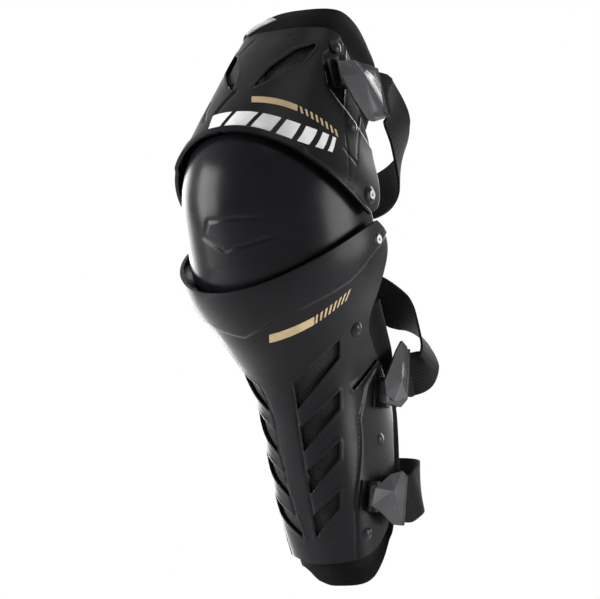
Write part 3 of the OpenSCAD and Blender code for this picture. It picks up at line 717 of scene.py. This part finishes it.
def inlay(sheet, corners, cells, lift=INK_LIFT, wall=INK_WALL):
    """A thin patch between four shares: near start, near end, far end and far start."""
    clear_selection()
    bpy.ops.mesh.primitive_grid_add(x_subdivisions=cells[0], y_subdivisions=cells[1], size=2)
    piece = bpy.context.object
    grid = np.empty(len(piece.data.vertices) * 3)
    piece.data.vertices.foreach_get("co", grid)
    s, t = ((grid.reshape(-1, 3)[:, :2] + 1) / 2).T
    a, b, c, d = (np.array(q, float) for q in corners)
    share = (1 - t)[:, None] * (a + s[:, None] * (b - a)) + t[:, None] * (d + s[:, None] * (c - d))
    at, out = sheet.place(share[:, 0], share[:, 1]), sheet.normal(share[:, 0], share[:, 1])
    piece.data.vertices.foreach_set("co", ((at + out * lift) * MM).ravel())
    piece.data.update()
    if np.dot(piece.data.polygons[0].normal, out[0]) < 0:
        piece.data.flip_normals()
    solid = piece.modifiers.new("wall", "SOLIDIFY")
    solid.thickness, solid.offset = wall * MM, -1
    bpy.ops.object.modifier_apply(modifier="wall")
    return piece


def joined(name, pieces):
    clear_selection()
    for piece in pieces:
        piece.select_set(True)
    bpy.context.view_layer.objects.active = pieces[0]
    bpy.ops.object.join()
    pieces[0].name = pieces[0].data.name = name
    return pieces[0]


def between(p, q, s):
    return tuple(a + s * (b - a) for a, b in zip(p, q))


def dashed_stripe(name, sheet, bar, dashes, count, fill, slant):
    """A bar, then slanted dashes. bar and dashes are each top start, top end, bottom end, bottom start."""
    made = [inlay(sheet, bar, (26, 3))]
    ts, te, be, bs = dashes
    for k in range(count):
        a, b = (k + 0.35) / count, (k + 0.35 + fill) / count
        c, d = a + slant / count, b + slant / count
        corners = [between(ts, te, a), between(ts, te, b), between(bs, be, d), between(bs, be, c)]
        made.append(inlay(sheet, corners, (2, 4)))
    return joined(name, made)


stripe = dashed_stripe("thigh_gold_stripe", thigh_sheet,
                       [(0.086, 0.329), (0.371, 0.362), (0.379, 0.316), (0.104, 0.274)],
                       [(0.371, 0.362), (0.651, 0.396), (0.650, 0.348), (0.379, 0.316)], 8, 0.45, 0.35)
finish_piece(stripe, gold_ink, "thigh")
stripe = dashed_stripe("shin_gold_stripe", shin_sheet,
                       [(0.155, 0.175), (0.426, 0.190), (0.416, 0.216), (0.131, 0.202)],
                       [(0.426, 0.190), (0.669, 0.193), (0.640, 0.221), (0.416, 0.216)], 8, 0.45, -0.1)
finish_piece(stripe, gold_ink, "shin")

top_line = [(-0.112, 0.190), (0.122, 0.188), (0.400, 0.225), (0.680, 0.345)]
low_line = [(-0.106, 0.060), (0.125, 0.062), (0.420, 0.080), (0.690, 0.225)]
slashes, edge = [], 0.0
for width, space in ((0.20, 0.035), (0.16, 0.035), (0.125, 0.035), (0.095, 0.035), (0.07, 0.035),
                     (0.045, 0.03), (0.03, 0.03)):
    a, b = edge, edge + width
    edge = b + space
    upper = smooth_line(top_line, np.array([a, b]))
    lower = smooth_line(low_line, np.clip(np.array([a, b]) - 0.055, 0, 1))
    slashes.append(inlay(thigh_sheet, [upper[0], upper[1], lower[1], lower[0]], (10, 6)))
finish_piece(joined("thigh_white_slashes", slashes), white_ink, "thigh")

# %% [markdown]
# ## Straps
# Each strap is woven elastic webbing, 38 mm wide. It leaves a slot in its clip, goes round behind
# the leg and ends flat inside the shell under a riveted plate. It is made as a long strip, ring
# by ring: the route is a smooth curve, and at each place the strip faces away from the leg. Every
# other ring is lifted a little, which gives the crosswise ribs of elastic webbing.

# %% Seats, and where their own places lie
STRAP_WIDTH, STRAP_THICK = 38.0, 2.4
SEAT_LIFT, BARREL_D, BARREL_LENGTH, CLIP_END, CLIP_THICK = 0.45, 9.0, 17.0, 40.0, 7.0
PIN_HEIGHT = SEAT_LIFT + 2.2 + 0.4 + BARREL_D / 2


class Spot:
    """A place on a shell, with its own axes: to the rear, up the leg and outwards."""

    def __init__(self, form, place, side=1):
        y, z = (np.array([c], float) for c in place)
        wide, d = form.half_width, 0.1
        out = unit(np.array([1, (wide(y - d, z) - wide(y + d, z))[0] / 2 / d,
                             (wide(y, z - d) - wide(y, z + d))[0] / 2 / d]))
        rear = unit(np.array([-out[1], out[0], 0]))
        self.axes, self.side = np.stack([rear, np.cross(out, rear), out]), side
        self.origin = np.array([wide(y, z)[0], y[0], z[0]])

    def at(self, v):
        w = self.origin + np.asarray(v, float) @ self.axes
        return w * (self.side, 1, 1)

    def outward(self):
        return self.axes[2] * (self.side, 1, 1)


SEATS = {"thigh": Spot(THIGH, (-8, 122)), "shin_upper": Spot(SHIN, (66, -137)),
         "shin_lower": Spot(SHIN, (56, -225))}
ANCHORS = {"thigh": Spot(THIGH, (-3, 53), -1), "shin_upper": Spot(SHIN, (12, -50), -1),
           "shin_lower": Spot(SHIN, (70, -222), -1)}
RISES = {"thigh": -14, "shin_upper": 20, "shin_lower": 0}
WAYS = {
    "thigh": [(74, 50, 100), (73, 62, 80), (62, 78, 56), (44, 92, 44), (18, 104, 38), (-14, 106, 37),
              (-46, 90, 39), (-70, 56, 44)],
    "shin_upper": [(58, 126, -110), (55, 128, -92), (42, 118, -68), (21, 109, -51), (0, 107, -43),
                   (-26, 101, -39), (-52, 84, -41), (-70, 56, -46)],
    "shin_lower": [(54, 117, -217), (40, 136, -207), (12, 146, -203), (-16, 144, -204), (-40, 128, -208),
                   (-50, 106, -214)]}
BODIES = {"thigh": ("thigh", "thigh_clip"), "shin_upper": ("shin", "shin_upper_clip"),
          "shin_lower": ("shin", "shin_lower_clip")}


def strap_route(key, count):
    """Centre points, widthwise and outward directions of a strap, evenly spaced along it."""
    seat, anchor = SEATS[key], ANCHORS[key]
    start, slot_end = (seat.at((x, RISES[key], PIN_HEIGHT)) for x in (CLIP_END - 8, CLIP_END + 7))
    bends = [slot_end] + [np.array(p, float) for p in WAYS[key]] + [
        anchor.at((x, 0, 1 + STRAP_THICK / 2)) for x in (16, 7, -7)]
    last = 2 * (len(bends) - 1) + 1
    share = np.linspace(0, 1, 900)
    centre = np.concatenate([[start + (slot_end - start) * s for s in np.linspace(0, 0.98, 30)],
                             smooth_line(bends, share)])
    ring = np.concatenate([np.linspace(0, 0.98, 30), 1 + (last - 1) * share])
    length = np.concatenate([[0], np.cumsum(np.linalg.norm(np.diff(centre, axis=0), axis=1))])
    even = np.linspace(0, length[-1], count)
    centre = np.stack([np.interp(even, length, centre[:, c]) for c in range(3)], 1)
    ring = np.interp(even, length, ring)
    at_clip, at_anchor = (np.clip(2 - 6 * k / last, 0, 1)[:, None] for k in (ring, last - ring))
    away = unit(np.stack([centre[:, 0], centre[:, 1] - 40, 0 * ring], 1))
    face = at_clip * seat.outward() + at_anchor * anchor.outward() + (1 - at_clip - at_anchor) * away
    tangent = unit(np.gradient(centre, axis=0))
    aside = unit(np.cross(face, tangent))
    return centre, aside, np.cross(tangent, aside), length[-1]


def strap(key, name):
    rings, columns = 2 * (int(strap_route(key, 9)[3] / 1.0) // 2), 16
    centre, aside, face, length = strap_route(key, rings + 1)
    clear_selection()
    bpy.ops.mesh.primitive_grid_add(x_subdivisions=columns, y_subdivisions=rings, size=2)
    piece = bpy.context.object
    piece.name = piece.data.name = name
    grid = np.empty(len(piece.data.vertices) * 3)
    piece.data.vertices.foreach_get("co", grid)
    grid = grid.reshape(-1, 3)
    across, ring = grid[:, 0], np.rint((grid[:, 1] + 1) / 2 * rings).astype(int)
    rib = np.where(ring % 2 == 0, 0.13, -0.13) * (np.abs(across) < 0.9)
    places = centre[ring] + across[:, None] * STRAP_WIDTH / 2 * aside[ring] + rib[:, None] * face[ring]
    piece.data.vertices.foreach_set("co", (places * MM).ravel())
    uv = piece.data.uv_layers[0].data
    flow = np.empty(len(uv) * 2)
    uv.foreach_get("uv", flow)
    uv.foreach_set("uv", (flow.reshape(-1, 2) * (STRAP_WIDTH * MM, length * MM)).ravel())
    piece.data.update()
    if np.dot(piece.data.polygons[0].normal, face[0]) < 0:
        piece.data.flip_normals()
    solid = piece.modifiers.new("wall", "SOLIDIFY")
    solid.thickness, solid.offset = (STRAP_THICK - 0.35) * MM, 0
    bpy.ops.object.modifier_apply(modifier="wall")
    bpy.ops.object.shade_smooth_by_angle(angle=math.radians(50))
    piece.data.materials.append(webbing)
    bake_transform(piece)
    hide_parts(key + "_strap")
    print(name, "is", round(length), "mm long")
    return piece


# %% [markdown]
# ## Clips
# A clip is a moulded hook: a barrel that swings on a steel pin, and a faceted plate with a slot
# for the strap. The plate is one flat outline, extruded, under a cover that is poked to a crest, so that
# it catches the light in a few plain facets.


# %% Clips
def clip_outline(rise):
    b, s = BARREL_LENGTH / 2, STRAP_WIDTH / 2 + 2.5
    return [(0, b), (BARREL_D / 2 + 1.5, b), (CLIP_END - 12, rise + s - 6 if rise > 0 else b + 1),
            (CLIP_END, rise + s), (CLIP_END, rise - s), (CLIP_END - 12, rise - s + 6 if rise < 0 else -b - 1),
            (BARREL_D / 2 + 1.5, -b), (0, -b)]


def cutter(kind, **values):
    clear_selection()
    getattr(bpy.ops.mesh, "primitive_" + kind + "_add")(**values)
    return bpy.context.object


def trim(piece, tool, operation="DIFFERENCE"):
    clear_selection()
    piece.select_set(True)
    bpy.context.view_layer.objects.active = piece
    step = piece.modifiers.new("trim", "BOOLEAN")
    step.operation, step.solver, step.object = operation, "EXACT", tool
    bpy.ops.object.modifier_apply(modifier="trim")
    bpy.data.objects.remove(tool)


def selected_only(piece):
    clear_selection()
    piece.select_set(True)
    bpy.context.view_layer.objects.active = piece


def flat_plate(corners, name="plate"):
    """A filled outline with its corners at their own heights, from a circle of as many points."""
    clear_selection()
    bpy.ops.mesh.primitive_circle_add(vertices=len(corners), radius=20 * MM, fill_type="NGON")
    piece = bpy.context.object
    piece.name = piece.data.name = name
    for vertex, corner in zip(piece.data.vertices, corners):
        vertex.co = Vector(corner) * MM
    if piece.data.polygons[0].normal.z < 0:
        piece.data.flip_normals()
    return piece


def clip(key, cover, crest, recesses):
    """A clip at rest: a body with barrel and slot, under a cover whose facets meet at a crest."""
    rise, low = RISES[key], PIN_HEIGHT - CLIP_THICK / 2
    piece = flat_plate([(x, y, low) for x, y in clip_outline(rise)[::-1]], key + "_clip_body")
    bpy.ops.object.mode_set(mode="EDIT")
    bpy.ops.mesh.select_all(action="SELECT")
    bpy.ops.mesh.extrude_region_move(TRANSFORM_OT_translate={"value": (0, 0, (CLIP_THICK - 1) * MM)})
    bpy.ops.mesh.select_all(action="SELECT")
    bpy.ops.mesh.normals_make_consistent(inside=False)
    bpy.ops.object.mode_set(mode="OBJECT")

    top = flat_plate(cover)
    bpy.ops.object.mode_set(mode="EDIT")
    bpy.ops.mesh.select_all(action="SELECT")
    bpy.ops.mesh.poke(offset=0)
    bpy.ops.object.mode_set(mode="OBJECT")
    top.data.vertices[-1].co = Vector(crest) * MM
    solid = top.modifiers.new("wall", "SOLIDIFY")
    solid.thickness, solid.offset = 2.0 * MM, -1
    bpy.ops.object.modifier_apply(modifier="wall")
    for x, y, radius, stretch in recesses:
        hollow = cutter("cylinder", vertices=32, radius=radius * MM, depth=8 * MM,
                        location=(x * MM, y * MM, (crest[2] + 0.4) * MM), scale=(stretch, 1, 1),
                        rotation=(0, 0, 0.25))
        trim(top, hollow)

    turned = (math.pi / 2, 0, 0)
    barrel = cutter("cylinder", vertices=40, radius=BARREL_D / 2 * MM, depth=BARREL_LENGTH * MM,
                    location=(0, 0, PIN_HEIGHT * MM), rotation=turned)
    trim(piece, barrel, "UNION")
    trim(piece, top, "UNION")
    bore = cutter("cylinder", vertices=32, radius=2.15 * MM, depth=26 * MM,
                  location=(0, 0, PIN_HEIGHT * MM), rotation=turned)
    trim(piece, bore)
    slot = cutter("cube", size=1, location=((CLIP_END - 4) * MM, rise * MM, PIN_HEIGHT * MM),
                  scale=(10 * MM, (STRAP_WIDTH + 1.6) * MM, (STRAP_THICK + 1.6) * MM))
    trim(piece, slot)
    selected_only(piece)
    bevel = piece.modifiers.new("edge", "BEVEL")
    bevel.width, bevel.segments, bevel.limit_method = 0.5 * MM, 2, "ANGLE"
    bevel.angle_limit = math.radians(14)
    bpy.ops.object.modifier_apply(modifier="edge")
    bpy.ops.object.shade_smooth_by_angle(angle=math.radians(6))
    spot = SEATS[key]
    verts = np.empty(len(piece.data.vertices) * 3)
    piece.data.vertices.foreach_get("co", verts)
    piece.data.vertices.foreach_set("co", (spot.at(verts.reshape(-1, 3) / MM) * MM).ravel())
    piece.data.update()
    finish_piece(piece, clip_plastic, BODIES[key][1], [key + "_clip"])
    return piece


COVERS = {
    "thigh": [(-9, -8, 12.2), (3, -28, 10.0), (15, -43, 8.4), (24, -43, 8.2), (38, -38, 8.4), (41, -33, 8.6),
              (41, -8, 9.4), (38, 6, 9.2), (28, 8.5, 10.0), (9, 9.5, 12.4), (-8.5, 5.5, 12.4)],
    "shin_upper": [(-10, 9, 12.2), (-6, -2, 12.2), (10, -5.5, 12.0), (28, -4, 9.4), (41, -2, 9.0),
                   (41.5, 30, 9.0), (36, 43, 9.0), (25, 47, 9.2), (15, 38, 9.6), (2, 23, 11.2)],
    "shin_lower": [(-8, -8, 12.0), (9, -14, 11.4), (26, -22, 9.4), (40, -22, 9.0), (41, 20, 9.0),
                   (33, 24, 9.2), (17, 20, 10.0), (-5, 7, 12.4)]}
clip("thigh", COVERS["thigh"], (13, -4, 17.0), [(27, 3.5, 3.4, 1.7)])
clip("shin_upper", COVERS["shin_upper"], (13, 12, 17.0), [(30, 14, 3.4, 1.0)])
clip("shin_lower", COVERS["shin_lower"], (14, 6, 17.0), [(27, -6, 3.4, 1.0)])
for key in WAYS:
    strap(key, key + "_webbing")

# %% [markdown]
# ## Linings
# Behind the vents lies a sheet of knitted spacer mesh, and behind that the pads: foam in brushed
# fabric, quilted in a few channels. A pad starts as a closed skin, thinner along its seams and
# edges. Its seams and its face against the shell are pinned, and cloth under a little pressure
# swells between them, as foam does between stitches.


# %% Mesh patches
def spacer_mesh(name, sheet, node, body, across, along, pitch):
    skin = Skin(name, sheet, across, along)
    size = skin.flat_size() / MM
    s, t = (skin.u + 1) / 2 * size[0], skin.w * size[1]
    row = np.round(t / (pitch * 0.87))
    column = s / pitch + 0.5 * (row % 2)
    hole = np.hypot((column - np.round(column)) * pitch, t - row * pitch * 0.87)
    skin.raise_by(-0.55 * np.exp(-((hole / (0.30 * pitch)) ** 4)) - 3.5)
    piece = skin.settle()
    thicken(piece, 0.8, 0)
    finish_piece(piece, mesh_fabric, body, [node])
    return piece


spacer_mesh("thigh_spacer_mesh", Sheet(THIGH, (0.66, 0.97), [(-42, 88), (-22, 112), (-4, 146)]), "thigh_mesh",
            "thigh", 150, 90, 3.6)
spacer_mesh("shin_spacer_mesh", Sheet(SHIN, (0.36, 0.97), [(10, -92), (30, -140), (44, -200), (54, -250)]),
            "shin_mesh", "shin", 150, 230, 3.6)


# %% Pads
def pad(name, sheet, top, thick, node, body, cells, seams, free_edge, flare, reach, cap=3.5):
    """A quilted pad behind a shell. seams are lines in shares; free_edge says where the rim shows,
    and flare how far it leans outwards there."""
    skin = Skin(name, sheet, *cells, reach)
    seam_gap = np.full(len(skin.u), np.inf)
    for line in seams:
        seam_gap = np.minimum(seam_gap, skin.gap(line))
    top_of = reach or (lambda u: 1 + 0 * u)
    round_it = [(u, float(top_of(np.array(u)))) for u in np.linspace(-1, 1, 25)]
    rim = skin.gap([(-1, 0)] + round_it + [(1, 0.5), (1, 0), (0, 0), (-1, 0)])
    swell = soft_step(np.minimum(rim, seam_gap) / 9)
    count = len(skin.u)
    shows = free_edge(skin.u, skin.w)
    start = skin.at + skin.out * (flare(skin.u, skin.w) - top)[:, None]
    inner = start - skin.out * (thick * (0.42 + 0.5 * swell))[:, None]
    skin.at = start
    piece = skin.settle()
    clear_selection()
    piece.select_set(True)
    bpy.context.view_layer.objects.active = piece
    solid = piece.modifiers.new("wall", "SOLIDIFY")
    solid.thickness, solid.offset = thick * MM, -1
    bpy.ops.object.modifier_apply(modifier="wall")
    co = np.empty(len(piece.data.vertices) * 3)
    piece.data.vertices.foreach_get("co", co)
    co = co.reshape(-1, 3)
    co[count:2 * count] = inner * MM
    piece.data.vertices.foreach_set("co", co.ravel())
    pinned = np.concatenate([1 - shows, np.where(seam_gap < 1.8, 1.0, 0.0)])
    group = piece.vertex_groups.new(name="pinned")
    for index, weight in enumerate(pinned):
        group.add([index], float(weight), "REPLACE")
    cloth = piece.modifiers.new("cloth", "CLOTH")
    cloth.settings.use_pressure = True
    cloth.settings.uniform_pressure_force = 4
    cloth.settings.effector_weights.gravity = 0
    cloth.settings.vertex_group_mass = "pinned"
    cloth.settings.quality = 5
    cloth.point_cache.frame_start, cloth.point_cache.frame_end = 1, 20
    for number in range(1, 21):
        bpy.context.scene.frame_set(number)
    bpy.ops.object.modifier_apply(modifier="cloth")
    bpy.context.scene.frame_set(1)
    after = np.empty(co.size)
    piece.data.vertices.foreach_get("co", after)
    move = after.reshape(-1, 3) - co
    far = np.maximum(np.linalg.norm(move, axis=1, keepdims=True), 1e-9)
    co = co + move * np.minimum(1, cap * MM / far)
    piece.data.vertices.foreach_set("co", co.ravel())
    print(name, "swells by", np.round(1000 * far.max(), 1), "mm, capped at", cap)
    piece.data.update()
    finer = piece.modifiers.new("finer", "SUBSURF")
    finer.levels = finer.render_levels = 1
    bpy.ops.object.modifier_apply(modifier="finer")
    bpy.ops.object.shade_smooth()
    finish_piece(piece, pad_fabric, body, [node])
    return piece


thigh_lining = Sheet(THIGH, (0.72, 1.13), [(6, 58), (24, 78), (48, 104), (62, 128), (62, 148)],
                     (0, 0), (4, 12))
shin_lining = Sheet(SHIN, (0.34, 1.075), [(34, -62), (66, -84), (98, -108), (112, -146), (112, -186),
                                          (107, -222), (100, -250)], (0, 0), (4, -14))
knee_lining = Sheet(CUP, (-40, 40), [(-24, -52), (-30, -20), (-30, 20), (-34, 56)])


PAD_DEPTH, KNEE_PAD_DEPTH, PAD_THICK, KNEE_PAD_THICK = 4.8, 3.4, 8, 9
COLLAR_FLARE, SHIN_END_FLARE, SHIN_REAR_FLARE = 6.5, 5, 6.5
COLLAR_START = 0.69


def collar_top(u):
    """How far up the thigh's collar reaches: lower on the left."""
    return 1 - 0.22 * soft_step((0.06 - u) / 0.34)


def collar_flare(u, w):
    return COLLAR_FLARE * soft_step((w - COLLAR_START) / (0.7 * (collar_top(u) - COLLAR_START)))


def shin_end(u):
    """How far down the shin's lining reaches: higher on the left."""
    return 1 - 0.085 * soft_step((0.12 - u) / 0.45)


def shin_rim(u, w):
    return np.maximum(soft_step((w - 0.94) / 0.03), soft_step((np.abs(u) - 0.94) / 0.03))


def shin_flare(u, w):
    return np.maximum(SHIN_END_FLARE * soft_step((w - 0.93) / 0.07),
                      SHIN_REAR_FLARE * soft_step((np.abs(u) - 0.93) / 0.05))


def nowhere(u, w):
    return 0 * u


# %% The three linings
pad("thigh_lining", thigh_lining, PAD_DEPTH, PAD_THICK, "thigh_pad", "thigh", (72, 40),
    [[(u, 0), (u, 0.66)] for u in (-0.62, -0.2, 0.2, 0.62)] + [[(-1, 0.66), (1, 0.66)]],
    lambda u, w: soft_step((w - 0.70) / 0.08), collar_flare, collar_top)
pad("shin_lining", shin_lining, PAD_DEPTH, PAD_THICK, "shin_pad", "shin", (72, 84),
    [[(u, 0), (u, 1)] for u in (-0.6, -0.2, 0.2, 0.6)] + [[(-1, w), (1, w)] for w in (0.25, 0.5, 0.75)],
    shin_rim, shin_flare, shin_end)
pad("knee_lining", knee_lining, KNEE_PAD_DEPTH, KNEE_PAD_THICK, "knee_pad", "knee", (60, 50),
    [[(u, 0), (u, 1)] for u in (-0.5, 0, 0.5)] + [[(-1, w), (1, w)] for w in (0.33, 0.66)],
    nowhere, nowhere, None)

# %% [markdown]
# ## Fabric tab
# A bare grey tab is sewn on the front of the thigh collar. It is a patch of the lining's own
# surface, so it bends with it, and it stands a little proud of the foam.

# %% Fabric tab on the collar
TAB_PROUD, TAB_WALL = 0.1, 1.2
tab_corners = [(-0.26, 0.765), (-0.04, 0.925), (-0.01, 0.865), (-0.23, 0.715)]
tab = inlay(thigh_lining, tab_corners, (18, 5), COLLAR_FLARE - PAD_DEPTH + TAB_PROUD, TAB_WALL)
tab.name = tab.data.name = "thigh_collar_tab"
finish_piece(tab, tab_fabric, "thigh")

# %% [markdown]
# ## Pivot caps
# Each pivot cap gets a plain grey washer face with a hexagon socket. The four faces are small, but
# the eye goes to them, because with the tab they are the only pale spots among the black parts.


# %% Socket faces on the pivot caps
def cap_face(pivot, side):
    clear_selection()
    bpy.ops.mesh.primitive_circle_add(vertices=36, radius=3.6 * MM, fill_type="NGON")
    piece = bpy.context.object
    bpy.ops.object.mode_set(mode="EDIT")
    bpy.ops.mesh.select_all(action="SELECT")
    bpy.ops.mesh.extrude_region_move(TRANSFORM_OT_translate={"value": (0, 0, 0.7 * MM)})
    bpy.ops.mesh.select_all(action="SELECT")
    bpy.ops.mesh.normals_make_consistent(inside=False)
    bpy.ops.object.mode_set(mode="OBJECT")
    socket = cutter("cylinder", vertices=6, radius=2.0 * MM, depth=0.9 * MM, location=(0, 0, 0.75 * MM))
    trim(piece, socket)
    selected_only(piece)
    bevel = piece.modifiers.new("edge", "BEVEL")
    bevel.width, bevel.segments, bevel.limit_method = 0.15 * MM, 2, "ANGLE"
    bpy.ops.object.modifier_apply(modifier="edge")
    piece.rotation_euler = (0, side * math.pi / 2, 0)
    piece.location = (side * (SHELL_HALF_WIDTH + 0.25 + 2.25) * MM, pivot[0] * MM, pivot[1] * MM)
    bpy.ops.object.transform_apply(location=True, rotation=True, scale=True)
    return piece


# %% Cap faces
faces = joined("pivot_cap_faces", [cap_face(pivot, side) for pivot in (THIGH_PIVOT, SHIN_PIVOT)
                                   for side in (-1, 1)])
finish_piece(faces, cap_grey, "knee")

# %% [markdown]
# ## Fasteners
# The rivets, pins, seats, spacers and nuts have the right shape in the CAD model already, so they
# keep it and only get their finishes.

# %% Finishes for the CAD parts
FINISHES = [
    (rivet_black, ["thigh_rivets", "shin_rivets"]),
    (cap_black, ["thigh_pivot_pin_outer", "thigh_pivot_pin_inner", "shin_pivot_pin_outer",
                 "shin_pivot_pin_inner"]),
    (seat_plastic, ["thigh_seat", "shin_upper_seat", "shin_lower_seat", "thigh_anchor_plate",
                    "shin_anchor_plates"]),
    (steel, ["thigh_rivet_washers", "shin_rivet_washers", "thigh_clip_pin", "shin_upper_clip_pin",
             "shin_lower_clip_pin", "pivot_spacers", "pivot_nuts", "thigh_seat_nuts", "shin_seat_nuts"])]
for finish, names in FINISHES:
    for name in names:
        nodes[name].data.materials.clear()
        nodes[name].data.materials.append(finish)
print("dressed", sum(len(names) for _, names in FINISHES), "CAD parts")
